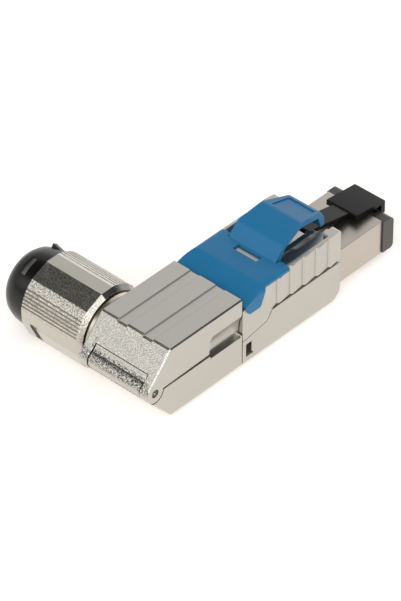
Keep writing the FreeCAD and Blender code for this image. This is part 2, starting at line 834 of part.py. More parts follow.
def lever_line():
    """Outer corners of the humped lever: heel, bend, crest, nose, front and lip."""
    return [
        (lever_hinge_x - lever_heel_back, lever_hinge_z + lever_heel_rise),
        (lever_bend_x, lever_bend, lever_bend_radius),
        (lever_crest_x, lever_crest, lever_crest_radius),
        (lever_nose_x, lever_nose, lever_nose_radius),
        (lever_front, lever_front_level),
        (lever_front, lever_lip_bottom, lever_edge_radius),
    ]


def release_lever():
    wide = lever_root_half_width
    outer = lever_line()
    inner = []
    for i in (1, 2, 3):
        x, z = inset_corner(outer[i - 1], outer[i], outer[i + 1], lever_thickness)
        inner.append((x, z, lever_inner_radius))
    lip = [(lever_front_inner, lever_lip_bottom, lever_edge_radius)]
    toe = [(lever_hinge_x + lever_toe, lever_hinge_z - lever_heel_rise)]
    body = prism(outer + lip + inner[::-1] + toe, "y", -wide, wide)
    root = rod(lever_hinge_x, lever_hinge_z, lever_barrel_radius, -wide, wide)
    front_half = lever_front_half_width
    taper_start = lever_hinge_x + lever_taper_start
    plan = [(lever_hinge_x - overcut, -wide), (taper_start, -wide), (lever_front, -front_half),
            (lever_front, front_half), (taper_start, wide), (lever_hinge_x - overcut, wide)]
    body = body.common(prism(plan, "z", 0, lever_crest + overcut))
    # Bare sunk panel on the slope in front of the crest
    slope = (lever_crest - lever_nose) / (lever_nose_x - lever_crest_x)
    start = lever_crest_x + panel_inset
    end = lever_nose_x - panel_inset
    floor_start = lever_crest - (start - lever_crest_x) * slope - panel_depth
    floor_end = lever_crest - (end - lever_crest_x) * slope - panel_depth
    half = lever_front_half_width - panel_side
    panel = prism([(start, floor_start), (end, floor_end), (end, floor_end + overcut),
                   (start, floor_start + overcut)], "y", -half, half)
    return body.fuse(root).cut(panel).removeSplitter()


def return_spring():
    """Flat spring: a bridge under the lever's root and two arms with bent tips."""
    low, high = channel_level, channel_level + spring_sheet
    bridge_half = spring_arm_offset + spring_arm_width
    bridge = mid_box(spring_start, spring_start + spring_bridge, bridge_half, low, high)
    arm = prism([(spring_start, low), (spring_bend, low), (spring_tip, low - spring_tip_drop),
                 (spring_tip, high - spring_tip_drop), (spring_bend, high), (spring_start, high)], "y",
                spring_arm_offset, bridge_half)
    return bridge.fuse(both_sides(arm)).removeSplitter()


# Gland

def gland_body():
    collar_start = half_width + running_gap
    body = turned([
        (bore_radius, flange_end - flange_thickness),
        (flange_radius, flange_end - flange_thickness),
        (flange_radius, flange_end),
        (neck_radius, flange_end),
        (neck_radius, collar_start),
        (collar_radius, collar_start),
        (collar_radius, collar_start + collar_thickness),
        (thread_radius, collar_start + collar_thickness),
        (thread_radius, neck_end),
        (cone_radius, neck_end),
        (bore_radius, collet_start),
    ])
    return body


def clamp_collet():
    ring = turned([
        (collet_bore_radius, collet_start),
        (bore_radius, collet_start),
        (cone_radius, neck_end),
        (collet_bore_radius, neck_end),
    ])
    cuts = []
    for i in range(collet_slots):
        cut = box(-gland_back, -gland_back + thread_radius + overcut, collet_start + collet_root,
                  neck_end + overcut, -collet_slot / 2, collet_slot / 2)
        cuts.append(around_gland(cut, 360.0 / collet_slots * i))
    return ring.cut(cuts)


def nut_section(sink):
    """Angles and radii of the nut's corners: four wide flats, narrow ones beside them, ribs between."""
    side_edge = nut_flat_angle / 2 + nut_side_angle
    lead_edge = nut_flat_angle / 2 + nut_lead_angle
    step = (90.0 - side_edge - lead_edge) / nut_rib_count
    points = []
    for quarter in range(4):
        base = nut_turn + 90.0 * quarter
        points += [(base - nut_flat_angle / 2, nut_radius), (base + nut_flat_angle / 2, nut_radius)]
        for rib in range(nut_rib_count):
            start = base + side_edge + rib * step
            points.append((start, nut_radius))
            points.append((start + step * nut_rib_share, nut_radius))
            if rib + 1 < nut_rib_count:
                points.append((start + step * (1 + nut_rib_share) / 2, nut_radius - sink))
        points.append((base + 90.0 - lead_edge, nut_radius))
    return points


def nut_outline(sink, scale):
    """The nut's corners in the plane across the gland's axis."""
    outline = []
    for angle, radius in nut_section(sink):
        turn = math.radians(angle)
        outline.append((-gland_back + radius * scale * math.cos(turn), radius * scale * math.sin(turn)))
    return outline


def bevel_ring(y0, y1):
    """Faceted bevel on the inner rim of the nut."""
    wires = []
    for scale, y in ((nut_bevel_ratio, y0), (1.0, y1)):
        corners = [Vector(x, y, z) for x, z in nut_outline(0.0, scale)]
        wires.append(Part.makePolygon(corners + corners[:1]))
    return Part.makeLoft(wires, True, True)


def cap_slots():
    """Pockets in the cap's dome, in line with two of the nut's wide flats."""
    floor = bore_radius + slide_gap + cap_slot_floor
    start = nut_end + cap_slot_start
    pocket = box(-gland_back + floor, -gland_back + cap_radius + overcut, start, start + cap_slot_length,
                 -cap_slot_width / 2, cap_slot_width / 2)
    return [around_gland(pocket, nut_turn), around_gland(pocket, nut_turn + 180)]


def catch_room(clearance, reach):
    """Space of the cap's two snap catches in windows of the nut, out to a radius."""
    half = catch_width / 2 + clearance
    end = nut_end - catch_setback
    catch = box(-gland_back + ring_radius + slide_gap, -gland_back + reach, end - catch_length - clearance,
                end + clearance, -half, half)
    return [around_gland(catch, nut_turn + 90), around_gland(catch, nut_turn + 270)]


def gland_nut():
    ribbed = prism(nut_outline(nut_rib_depth, 1.0), "y", nut_start + nut_bevel, nut_end)
    body = ribbed.fuse(bevel_ring(nut_start, nut_start + nut_bevel))
    thread_bore = thread_radius + thread_gap
    bore = turned([
        (0, nut_start - overcut),
        (collar_radius + slide_gap, nut_start - overcut),
        (collar_radius + slide_gap, nut_start),
        (thread_bore, nut_start + nut_bevel),
        (thread_bore, nut_chamber_start),
        (nut_chamber_radius, nut_chamber_start),
        (nut_chamber_radius, nut_end + overcut),
        (0, nut_end + overcut),
    ])
    return body.cut([bore] + catch_room(running_gap, nut_radius + overcut)).removeSplitter()


def cap_dome(drop):
    """Outer form of the cap: straight to its shoulder, then an elliptic dome in narrow bands to its mouth."""
    shoulder = nut_end + cap_shoulder
    end = nut_end + cap_length - drop
    rim = cap_radius - drop
    profile = [(0, nut_end), (rim, nut_end)]
    for band in range(cap_dome_bands + 1):
        turn = math.pi / 2 * band / cap_dome_bands
        radius = cap_mouth_radius + (rim - cap_mouth_radius) * math.cos(turn)
        profile.append((radius, shoulder + (end - shoulder) * math.sin(turn)))
    return turned(profile + [(0, end)])


def cap_tab():
    """Ramped tab on the cap's shoulder."""
    start = nut_end + cap_shoulder
    end = start + cap_tab_length
    outline = [
        (-gland_back + cap_tab_root, start),
        (-gland_back + cap_radius, start),
        (-gland_back + cap_radius + cap_tab_rise, end),
        (-gland_back + cap_tab_root, end),
    ]
    tab = prism(outline, "z", -cap_tab_width / 2, cap_tab_width / 2)
    return around_gland(tab, nut_turn + cap_tab_turn)


def end_cap():
    spigot = rod(-gland_back, 0.0, nut_chamber_radius - running_gap, nut_end - cap_spigot_length, nut_end)
    skirt_end = nut_end - catch_setback - catch_length
    skirt = turned([
        (ring_radius + slide_gap / 2, skirt_end),
        (nut_chamber_radius - running_gap, skirt_end),
        (nut_chamber_radius - running_gap, nut_end),
        (ring_radius + slide_gap / 2, nut_end),
    ])
    flat_radius = nut_radius * math.cos(math.radians(nut_flat_angle / 2))
    catches = catch_room(0.0, flat_radius - catch_sink)
    cap = cap_dome(0.0).fuse([spigot, skirt, cap_tab()] + catches)
    bore = rod(-gland_back, 0.0, bore_radius + slide_gap, 0, nut_end + cap_length + overcut)
    return cap.cut([bore] + cap_slots())


def cap_lug(index):
    """Bright metal lug that fills a pocket of the cap, a little under its dome."""
    return cap_slots()[index - 1].common(cap_dome(cap_lug_drop))


def slip_ring():
    start = nut_chamber_start + slide_gap / 2
    return turned([
        (bore_radius, start), (ring_radius, start), (ring_radius, start + ring_thickness),
        (bore_radius, start + ring_thickness),
    ])


def cable_seal():
    start = nut_chamber_start + slide_gap / 2 + ring_thickness
    end = start + seal_thickness
    inside = bore_radius - slide_gap
    return turned([(inside, start), (ring_radius, start), (ring_radius, end), (inside, end)])


# Every piece under its own name

def pieces():
    parts = {
        "rear_lower_shell": rear_lower_shell(),
        "rear_upper_shell": rear_upper_shell(),
        "hinge_pin": hinge_pin(),
        "front_lower_shell": front_lower_shell(),
        "front_upper_shell": front_upper_shell(),
        "contact_carrier": contact_carrier(),
        "nose_shield": nose_shield(),
        "circuit_board": circuit_board(),
        "terminal_block": terminal_block(),
        "wire_manager": wire_manager(),
        "latch_lever": latch_lever(),
        "release_clip": release_clip(),
        "release_lever": release_lever(),
        "return_spring": return_spring(),
        "gland_body": gland_body(),
        "clamp_collet": clamp_collet(),
        "gland_nut": gland_nut(),
        "end_cap": end_cap(),
        "cap_lug_1": cap_lug(1),
        "cap_lug_2": cap_lug(2),
        "slip_ring": slip_ring(),
        "cable_seal": cable_seal(),
    }
    for index in range(1, pole_count + 1):
        parts["contact_%d" % index] = contact(index)
        parts["terminal_%d" % index] = terminal(index)
    return parts


def save(parts):
    os.makedirs("parts", exist_ok=True)
    to_nose = Vector(-nose_end, 0, -nose_middle)
    for name, shape in parts.items():
        shape.translate(to_nose)
        shape.exportStep("parts/%s.step" % name)
        solids = len(shape.Solids)
        print("%-20s solids %d valid %s volume %.2f mm3" % (name, solids, shape.isValid(), shape.Volume))


save(pieces())
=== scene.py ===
# %% [markdown]
# # An angled network plug in die-cast metal, black and blue plastic
#
# The real object is a field-wired network plug. Two hinged die-cast shells close round the cable's
# end, two more hold the contacts, a blue lever sits over the latch, and the cable leaves sideways
# through a ribbed nut with a black cap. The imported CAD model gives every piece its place, so the
# frame is loaded first, and each finished piece is made from it.

import json
import math

import bmesh
import bpy
import numpy as np
from mathutils import Matrix, Vector
from mathutils.geometry import intersect_point_line


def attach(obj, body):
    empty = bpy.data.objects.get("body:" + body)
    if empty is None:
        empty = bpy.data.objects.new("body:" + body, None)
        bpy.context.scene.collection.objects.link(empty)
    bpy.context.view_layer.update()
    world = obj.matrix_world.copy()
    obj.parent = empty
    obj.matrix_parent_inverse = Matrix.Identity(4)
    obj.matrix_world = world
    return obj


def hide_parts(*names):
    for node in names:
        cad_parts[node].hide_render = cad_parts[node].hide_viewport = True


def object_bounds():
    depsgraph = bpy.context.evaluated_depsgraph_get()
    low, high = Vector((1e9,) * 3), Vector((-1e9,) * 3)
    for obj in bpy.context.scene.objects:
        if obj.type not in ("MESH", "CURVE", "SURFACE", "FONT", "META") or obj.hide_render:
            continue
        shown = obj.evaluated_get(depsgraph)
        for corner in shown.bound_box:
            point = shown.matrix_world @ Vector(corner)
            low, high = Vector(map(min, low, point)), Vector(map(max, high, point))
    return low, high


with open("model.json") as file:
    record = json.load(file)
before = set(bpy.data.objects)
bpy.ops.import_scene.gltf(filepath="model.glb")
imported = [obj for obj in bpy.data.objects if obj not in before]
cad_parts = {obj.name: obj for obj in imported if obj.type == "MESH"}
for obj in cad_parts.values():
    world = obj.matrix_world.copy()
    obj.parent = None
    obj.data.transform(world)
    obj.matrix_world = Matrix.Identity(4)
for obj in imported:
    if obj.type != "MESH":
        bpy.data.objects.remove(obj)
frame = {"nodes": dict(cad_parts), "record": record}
cad_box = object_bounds()
NODES = frame["nodes"]
BODY_OF = {node: body for body, nodes in frame["record"]["behaviour"]["bodies"].items()
           for node in nodes}
MM = 0.001
print("pieces in the frame:", len(NODES))


def new_object(name, data):
    """An object that shows the data, linked into the scene."""
    made = bpy.data.objects.new(name, data)
    bpy.context.scene.collection.objects.link(made)
    return made


# %% [markdown]
# ## Camera
#
# The photograph was taken with a long lens from the plug's rear right, about forty degrees above
# it. The camera's place was fitted to the plug's straight edges, in millimetres from the nose's
# front face. Its three axes are built from a heading and an elevation, with a hair of roll.

# %% Camera
IMAGE_HEIGHT = 601
SENSOR_MM = 36.0
FOCAL_PIXELS = 3931.2
CAMERA_HEADING = math.radians(47.012)
CAMERA_ELEVATION = math.radians(39.582)
CAMERA_ROLL = math.radians(0.229)
CAMERA_PLACE = Vector((-370.3, -309.9, 381.38)) * MM
NEAREST_M = 0.05
FARTHEST_M = 20.0


def camera_axes():
    """Right, up and back vectors of the camera, after its roll."""
    ahead = Vector((math.sin(CAMERA_HEADING), math.cos(CAMERA_HEADING), 0.0))
    right = Vector((math.cos(CAMERA_HEADING), -math.sin(CAMERA_HEADING), 0.0))
    level = Vector((0.0, 0.0, 1.0))
    up = ahead * math.sin(CAMERA_ELEVATION) + level * math.cos(CAMERA_ELEVATION)
    back = level * math.sin(CAMERA_ELEVATION) - ahead * math.cos(CAMERA_ELEVATION)
    rolled_right = right * math.cos(CAMERA_ROLL) - up * math.sin(CAMERA_ROLL)
    rolled_up = right * math.sin(CAMERA_ROLL) + up * math.cos(CAMERA_ROLL)
    return rolled_right, rolled_up, back


camera = new_object("camera", bpy.data.cameras.new("camera"))
bpy.context.scene.camera = camera
camera.data.sensor_width = SENSOR_MM
camera.data.lens = FOCAL_PIXELS * SENSOR_MM / IMAGE_HEIGHT
camera.data.clip_start = NEAREST_M
camera.data.clip_end = FARTHEST_M
turn = Matrix(camera_axes()).transposed().to_4x4()
camera.matrix_world = Matrix.Translation(CAMERA_PLACE) @ turn
bpy.context.scene.view_settings.view_transform = "Standard"
print("lens in mm:", round(camera.data.lens, 1))

# %% [markdown]
# ## Colours and nodes
#
# Colours are written as sRGB hex, the way a paint chart gives them, and turned to linear values
# once. One small function adds a shader node with its settings and links, and a few more add the
# kinds that come back often, so that each material below reads as a list of what the surface is
# made of. Patterns lie in the object's own coordinates, in millimetres.


# %% Colour and node helpers
def colour(code):
    """sRGB hex to linear RGBA.

    Each channel c becomes c / 12.92 where it is dark, and else ((c + 0.055) / 1.055) ** 2.4.
    """
    channels = np.array([int(code[i:i + 2], 16) for i in (1, 3, 5)]) / 255.0
    linear = np.where(channels <= 0.04045, channels / 12.92, ((channels + 0.055) / 1.055) ** 2.4)
    return (*linear.tolist(), 1.0)


def add(tree, kind, settings=None, **inputs):
    """Adds a shader node. Settings are its attributes; inputs are values, or sockets to link from.

    An input is named, with _ for a space, or numbered from _0.
    """
    node = tree.nodes.new(kind)
    for name, value in (settings or {}).items():
        setattr(node, name, value)
    for name, value in inputs.items():
        socket = node.inputs[int(name[1:]) if name[0] == "_" else name.replace("_", " ")]
        if isinstance(value, bpy.types.NodeSocket):
            tree.links.new(value, socket)
        else:
            socket.default_value = value
    return node


def new_material(name, **values):
    """A material, its node tree and its principled shader, with values for the shader's inputs."""
    material = bpy.data.materials.new(name)
    material.use_nodes = True
    shader = material.node_tree.nodes["Principled BSDF"]
    for socket, value in values.items():
        shader.inputs[socket.replace("_", " ")].default_value = value
    return material, material.node_tree, shader


def link(tree, source, shader, name):
    """Feeds an input of the shader from a socket."""
    tree.links.new(source, shader.inputs[name])


def pattern_place(tree, scale=(1.0, 1.0, 1.0)):
    """Object coordinates in millimetres, stretched by a scale for each axis."""
    place = add(tree, "ShaderNodeTexCoord").outputs["Object"]
    per_mm = [1000.0 * s for s in scale]
    return add(tree, "ShaderNodeMapping", {"vector_type": "POINT"}, Vector=place,
               Scale=per_mm).outputs[0]


def noise(tree, place, per_mm, detail):
    """Noise of so many waves to the millimetre, with so many finer layers in it."""
    return add(tree, "ShaderNodeTexNoise", None, Vector=place, Scale=per_mm,
               Detail=detail).outputs["Fac"]


def calculate(tree, operation, *values):
    """Result of a math node."""
    inputs = {"_%d" % number: value for number, value in enumerate(values)}
    return add(tree, "ShaderNodeMath", {"operation": operation}, **inputs).outputs[0]


def remap(tree, value, **limits):
    """A value carried from one range to another, and held inside the new one."""
    return add(tree, "ShaderNodeMapRange", None, Value=value, **limits).outputs[0]


def mix_colours(tree, share, first, second):
    """Colour between two others. Each is an sRGB hex code or a socket."""
    ends = [colour(end) if isinstance(end, str) else end for end in (first, second)]
    return add(tree, "ShaderNodeMix", {"data_type": "RGBA"}, Factor=share, _6=ends[0],
               _7=ends[1]).outputs[2]


def facing(tree):
    """X, Y and Z of the direction that the surface faces, in the object's axes."""
    direction = add(tree, "ShaderNodeTexCoord").outputs["Normal"]
    return add(tree, "ShaderNodeSeparateXYZ", None, _0=direction).outputs


def uneven(tree, pattern, roughness, spread):
    """Roughness that a pattern moves up and down, to the two ends of its spread."""
    return remap(tree, pattern, To_Min=roughness + spread[0], To_Max=roughness + spread[1])


def add_bump(tree, shader, height, strength, depth_mm):
    """Tilts the surface by a height pattern, so deep at full strength."""
    bump = add(tree, "ShaderNodeBump", None, Strength=strength, Distance=depth_mm * MM,
               Height=height)
    link(tree, bump.outputs[0], shader, "Normal")


# %% [markdown]
# ## Nickel-plated zinc castings
#
# The four shells are pressure-cast zinc, tumbled, then plated with dull nickel. The plating keeps
# the skin of the casting: almost smooth sides, and a fine pebble on the rear bevel. It reflects
# the white floor, so the sides look pale and slightly pink. The pebble is a noise bump with a grit
# of a tenth of a millimetre, and its pits are darker than its tops, because the plating is thinner
# in them. Round the hinge barrel its pits are painted near black on the faces turned up and to the
# rear: a painted reflection of the dark room that the barrel mirrors there. The walls of the lid's
# two grooves have a duller finish, as if blasted. That is a guess: with the shells' own finish
# they would mirror a dark gap of the room as black lines, which the photograph doesn't show.

# %% Cast nickel
# Places in the part's frame, in millimetres
HINGE_AXIS_MM = (-55.2, 0.0, 2.275)
PARTING_X_MM = -36.18
GROOVE_FOOT_MM = 8.2
GROOVE_SPAN_MM = 6.0
# Distances from the hinge's axis where the pits painted near black, a painted reflection, start
# and are full
HINGE_PAINTED_REFLECTION_MM = (2.0, 1.8)
# X and Z of the surface's direction where the rough skin starts and is full
REARWARD = (-0.2, -0.5)
UPWARD = (0.05, 0.35)
# Y of the surface's direction, either way, from which it is a groove's wall
GROOVE_SLOPE = 0.3
CLOUDS_PER_MM = 0.35
CLOUD_SPREAD = (-0.05, 0.07)
# Heights of the grit where its pits and its tops have their full colour
PITS_AND_TOPS = (0.38, 0.62)
PEBBLE_DEPTH_MM = 0.1
BLASTED_TINT = "#9c9993"
BLASTED_ROUGHER = 0.4


def rough_skin(tree):
    """Share of the die's rough skin: full on faces turned up and to the rear, else none."""
    toward = facing(tree)
    rear = remap(tree, toward["X"], From_Min=REARWARD[0], From_Max=REARWARD[1])
    up = remap(tree, toward["Z"], From_Min=UPWARD[0], From_Max=UPWARD[1])
    return calculate(tree, "MULTIPLY", rear, up)


def hinge_painted_reflection_share(tree, place):
    """Share of the hinge barrel, whose pits are painted near black as a reflection of the dark
    room: full near the pin's axis.
    """
    offset = add(tree, "ShaderNodeVectorMath", {"operation": "SUBTRACT"}, _0=place,
                 _1=HINGE_AXIS_MM)
    across = add(tree, "ShaderNodeVectorMath", {"operation": "MULTIPLY"}, _0=offset.outputs[0],
                 _1=(1.0, 0.0, 1.0))
    reach = add(tree, "ShaderNodeVectorMath", {"operation": "LENGTH"}, _0=across.outputs[0])
    return remap(tree, reach.outputs["Value"], From_Min=HINGE_PAINTED_REFLECTION_MM[0],
                 From_Max=HINGE_PAINTED_REFLECTION_MM[1])


def in_lid_grooves(tree, place):
    """1 on the walls of the two grooves in the lid's top, and 0 elsewhere."""
    slope = calculate(tree, "ABSOLUTE", facing(tree)["Y"])
    spot = add(tree, "ShaderNodeSeparateXYZ", None, _0=place).outputs
    aside = calculate(tree, "ABSOLUTE", spot["Y"])
    share = calculate(tree, "GREATER_THAN", spot["Z"], GROOVE_FOOT_MM)
    for operation, value, limit in (("LESS_THAN", spot["X"], PARTING_X_MM),
                                    ("LESS_THAN", aside, GROOVE_SPAN_MM),
                                    ("GREATER_THAN", slope, GROOVE_SLOPE)):
        share = calculate(tree, "MULTIPLY", share, calculate(tree, operation, value, limit))
    return share


def cast_nickel(name, tint, roughness, pebble, rear_pebble, grit_mm, pits, tops,
                hinge_pits_painted_reflection=None):
    """Dull nickel plating over a casting: metallic, with slow roughness clouds and fine pebble.

    Rough skin takes rear_pebble, and the colours of its pits and tops, in place of pebble and
    tint. Given a colour for the hinge's pits, the casting is a shell: the pits round the hinge
    take it, as a painted reflection of the dark room, and the walls of the lid's grooves are
    blasted.
    """
    material, tree, shader = new_material(name, Metallic=1.0)
    place = pattern_place(tree)
    rough = uneven(tree, noise(tree, place, CLOUDS_PER_MM, 3.0), roughness, CLOUD_SPREAD)
    # A grain is half a wave
    grit = noise(tree, place, 0.5 / grit_mm, 2.0)
    skin = rough_skin(tree)
    height = remap(tree, grit, From_Min=PITS_AND_TOPS[0], From_Max=PITS_AND_TOPS[1])
    # Round the hinge the pits are painted near black: a painted reflection of the dark room the
    # barrel mirrors
    if hinge_pits_painted_reflection is not None:
        pits = mix_colours(tree, hinge_painted_reflection_share(tree, place), pits, hinge_pits_painted_reflection)
    base = mix_colours(tree, skin, tint, mix_colours(tree, height, pits, tops))
    if hinge_pits_painted_reflection is not None:
        groove = in_lid_grooves(tree, place)
        rough = calculate(tree, "MULTIPLY_ADD", groove, BLASTED_ROUGHER, rough)
        base = mix_colours(tree, groove, base, BLASTED_TINT)
    link(tree, rough, shader, "Roughness")
    link(tree, base, shader, "Base Color")
    strength = remap(tree, skin, To_Min=pebble, To_Max=rear_pebble)
    add_bump(tree, shader, grit, strength, PEBBLE_DEPTH_MM)
    return material


# The hinge's near-black pits are painted reflection of the dark room, not a colour of the plating
shell_nickel = cast_nickel("cast_nickel_shell", "#bdbab3", 0.3, pebble=0.06, rear_pebble=0.85,
                           grit_mm=0.1, pits="#aba8a0", tops="#d6d3ca", hinge_pits_painted_reflection="#2c2b29")
nut_nickel = cast_nickel("cast_nickel_nut", "#bebab1", 0.24, pebble=0.2, rear_pebble=0.7,
                         grit_mm=0.11, pits="#938f86", tops="#d4d0c6")
gland_nickel = cast_nickel("turned_nickel_gland", "#c6beb0", 0.3, pebble=0.06, rear_pebble=0.06,
                           grit_mm=0.16, pits="#c6beb0", tops="#c6beb0")

# %% [markdown]
# ## Drawn sheet steel
#
# The nose's sleeve, the return spring and the pin are rolled or drawn steel. Rolling leaves fine
# lines along the sheet, so the noise is stretched twenty times along the plug, with four waves to
# the millimetre across it.

# %% Sheet steel
ROLLING_STRETCH = (0.05, 1.0, 1.0)
ROLLING_PER_MM = 4.0
ROLLING_SPREAD = (-0.08, 0.1)
ROLLING_BUMP = 0.02
ROLLING_DEPTH_MM = 0.03


def sheet_steel(name, tint, roughness):
    """Rolled sheet: metallic, with fine lines along X in its roughness and height."""
    material, tree, shader = new_material(name, Base_Color=colour(tint), Metallic=1.0)
    lines = noise(tree, pattern_place(tree, ROLLING_STRETCH), ROLLING_PER_MM, 3.0)
    link(tree, uneven(tree, lines, roughness, ROLLING_SPREAD), shader, "Roughness")
    add_bump(tree, shader, lines, ROLLING_BUMP, ROLLING_DEPTH_MM)
    return material


sleeve_steel = sheet_steel("drawn_sleeve_steel", "#beb6ad", 0.32)
# The cap's lugs show only inside its slot: their darker tint is painted shade for that recess, and
# their rougher sheet is dull
lug_steel_painted_shade = sheet_steel("dull_lug_steel", "#8d8a86", 0.4)
spring_steel = sheet_steel("bright_spring_steel", "#e4e0da", 0.22)

# %% [markdown]
# ## Moulded plastics
#
# The lever and its clip are moulded in blue polycarbonate, the latch and the cap in black
# polyamide. Both come from spark-eroded tools, which leave a faint matt grain. Plastic has an
# index of refraction of about 1.5, so its gloss stays low next to the metal's.

# %% Moulded plastic
DRIFT_PER_MM = 0.3
GRAIN_PER_MM = 5.0
GRAIN_DEPTH_MM = 0.04
PLASTIC_IOR = 1.5


def moulded_plastic(name, tint, shade, roughness, grain, gloss=0.5):
    """Moulded plastic: a slow drift between two near tints, and a spark-eroded grain of 0.1 mm."""
    material, tree, shader = new_material(name, Roughness=roughness, IOR=PLASTIC_IOR,
                                          Specular_IOR_Level=gloss)
    place = pattern_place(tree)
    drift = noise(tree, place, DRIFT_PER_MM, 2.0)
    link(tree, mix_colours(tree, drift, tint, shade), shader, "Base Color")
    add_bump(tree, shader, noise(tree, place, GRAIN_PER_MM, 2.0), grain, GRAIN_DEPTH_MM)
    return material


blue_plastic = moulded_plastic("moulded_blue", "#1c6c99", "#1a6792", 0.42, 0.12, gloss=0.3)
cap_plastic = moulded_plastic("moulded_black_cap", "#0b0b0a", "#090908", 0.25, 0.08, gloss=0.3)
latch_plastic = moulded_plastic("moulded_black_latch", "#11100f", "#0e0d0c", 0.35, 0.1,
                                gloss=0.16)
carrier_plastic = moulded_plastic("moulded_black_carrier", "#2a2826", "#252321", 0.25, 0.08,
                                  gloss=0.7)
white_plastic = moulded_plastic("moulded_natural", "#d8d5c9", "#cfccc0", 0.5, 0.1)
seal_rubber = moulded_plastic("moulded_rubber", "#1c1c1c", "#161616", 0.7, 0.3)

# %% [markdown]
# ## Inner metals and the board
#
# The parts inside show only when the lid is open. Gold plating on the blades, tin on the forks,
# bronze for the collet, and green solder mask on the glass laminate.

# %% Inner finishes
STAMPING_PER_MM = 1.5
STAMPING_SPREAD = (-0.05, 0.08)


def plated(name, tint, roughness):
    """Thin plating over a stamped part: metallic with faint stamping drift in its roughness."""
    material, tree, shader = new_material(name, Base_Color=colour(tint), Metallic=1.0)
    drift = noise(tree, pattern_place(tree), STAMPING_PER_MM, 2.0)
    link(tree, uneven(tree, drift, roughness, STAMPING_SPREAD), shader, "Roughness")
    return material


gold = plated("gold_plating", "#e6b95c", 0.22)
tin = plated("tin_plating", "#cfcdc8", 0.3)
bronze = plated("plated_spring_bronze", "#d3c6a4", 0.28)
solder_mask = moulded_plastic("green_solder_mask", "#1f6a43", "#1a5f3b", 0.3, 0.05)

# %% [markdown]
# ## From CAD solid to finished piece
#
# A CAD mesh is loose triangles with razor edges, and no casting has those. Each visible solid is
# copied: its doubled points are merged by their rounded coordinates, flat neighbours are joined
# into one face, and a small bevel breaks the edges sharper than thirty degrees, as tumbling or a
# mould does. On the four shells only the outward edges between broad faces are broken, and their
# planes stay flat, so that the broken edges are crisp chamfers that mirror the room.

# %% Finished copies of CAD solids
# Decimals of a millimetre to which doubled points agree
POINT_DECIMALS = 4
# Faces that meet at less than this are one plane, and those that meet at more may be a curve
ONE_PLANE_DEG = 0.6
CURVE_DEG = 0.7
# A face as large as this is a plane, whatever its neighbours are
PLANE_MM2 = 3.0
# Edges sharper than this are broken
BROKEN_DEG = 30
# On the shells, a shorter edge than this stays sharp, and so does one this near the parting
SHORTEST_EDGE_MM = 0.3
PARTING_REACH_MM = 0.2
# A broad face has room for so many bevels, measured at these shares of the edge's length.
# A distance counts where at least this share of it runs square to the edge.
BROAD_BEVELS = 2.1
ALONG_EDGE = (0.2, 0.5, 0.8)
SQUARE_SHARE = 0.6
# Y of a wall's direction, either way, from which it is a side wall
SIDE_WALL = 0.9
# The shell that is a closed ring, where a bevel on the inner walls would fold over
CLOSED_SHELL = "front_lower_shell"


def bmesh_of(mesh):
    """Working copy of a mesh. Whoever asks for it frees it."""
    work = bmesh.new()
    work.from_mesh(mesh)
    return work


def merged_mesh(node):
    """Mesh of a CAD node with its doubled points merged and flat neighbours joined."""
    source = NODES[node].data
    points = np.empty(len(source.vertices) * 3)
    source.vertices.foreach_get("co", points)
    points = points.reshape(-1, 3)
    corners = np.empty(len(source.loops), dtype=int)
    source.loops.foreach_get("vertex_index", corners)
    rounded, index = np.unique(np.round(points / MM, POINT_DECIMALS), axis=0, return_inverse=True)
    faces = index.reshape(-1)[corners].reshape(-1, 3)
    first, second, third = faces.T
    whole = (first != second) & (second != third) & (first != third)
    mesh = bpy.data.meshes.new(node + "_finished")
    mesh.from_pydata(rounded * MM, [], faces[whole].tolist())
    work = bmesh_of(mesh)
    bmesh.ops.dissolve_limit(work, angle_limit=math.radians(ONE_PLANE_DEG), verts=work.verts,
                             edges=work.edges)
    work.to_mesh(mesh)
    work.free()
    return mesh


def curved_faces(mesh, sharp_deg):
    """True for each face of a curved surface: a small one that meets a neighbour bluntly.

    A face of a plane stays flat, so that the bevels round it are true chamfers with one shade.
    """
    work = bmesh_of(mesh)
    low, high = math.radians(CURVE_DEG), math.radians(sharp_deg)
    curved = [face.calc_area() < PLANE_MM2 * MM * MM
              and any(low < edge.calc_face_angle(0.0) < high for edge in face.edges)
              for face in work.faces]
    work.free()
    return np.array(curved, dtype=bool)


def room_beside(edge):
    """Least distance from an edge to the edges across its two faces, at a few places along it."""
    start, end = (vertex.co for vertex in edge.verts)
    along = (end - start).normalized()
    least = math.inf
    for other in (other for face in edge.link_faces for other in face.edges):
        if other == edge or set(other.verts) & set(edge.verts):
            continue
        first, last = (vertex.co for vertex in other.verts)
        for share in ALONG_EDGE:
            place = start.lerp(end, share)
            part = intersect_point_line(place, first, last)[1]
            offset = first.lerp(last, min(max(part, 0.0), 1.0)) - place
            across = offset - along * offset.dot(along)
            if across.length > SQUARE_SHARE * offset.length:
                least = min(least, across.length)
    return least


def inner_wall(face):
    """True for a side wall that faces the plug's middle plane."""
    sideways = face.normal.y
    return abs(sideways) > SIDE_WALL and sideways * face.calc_center_median().y < 0


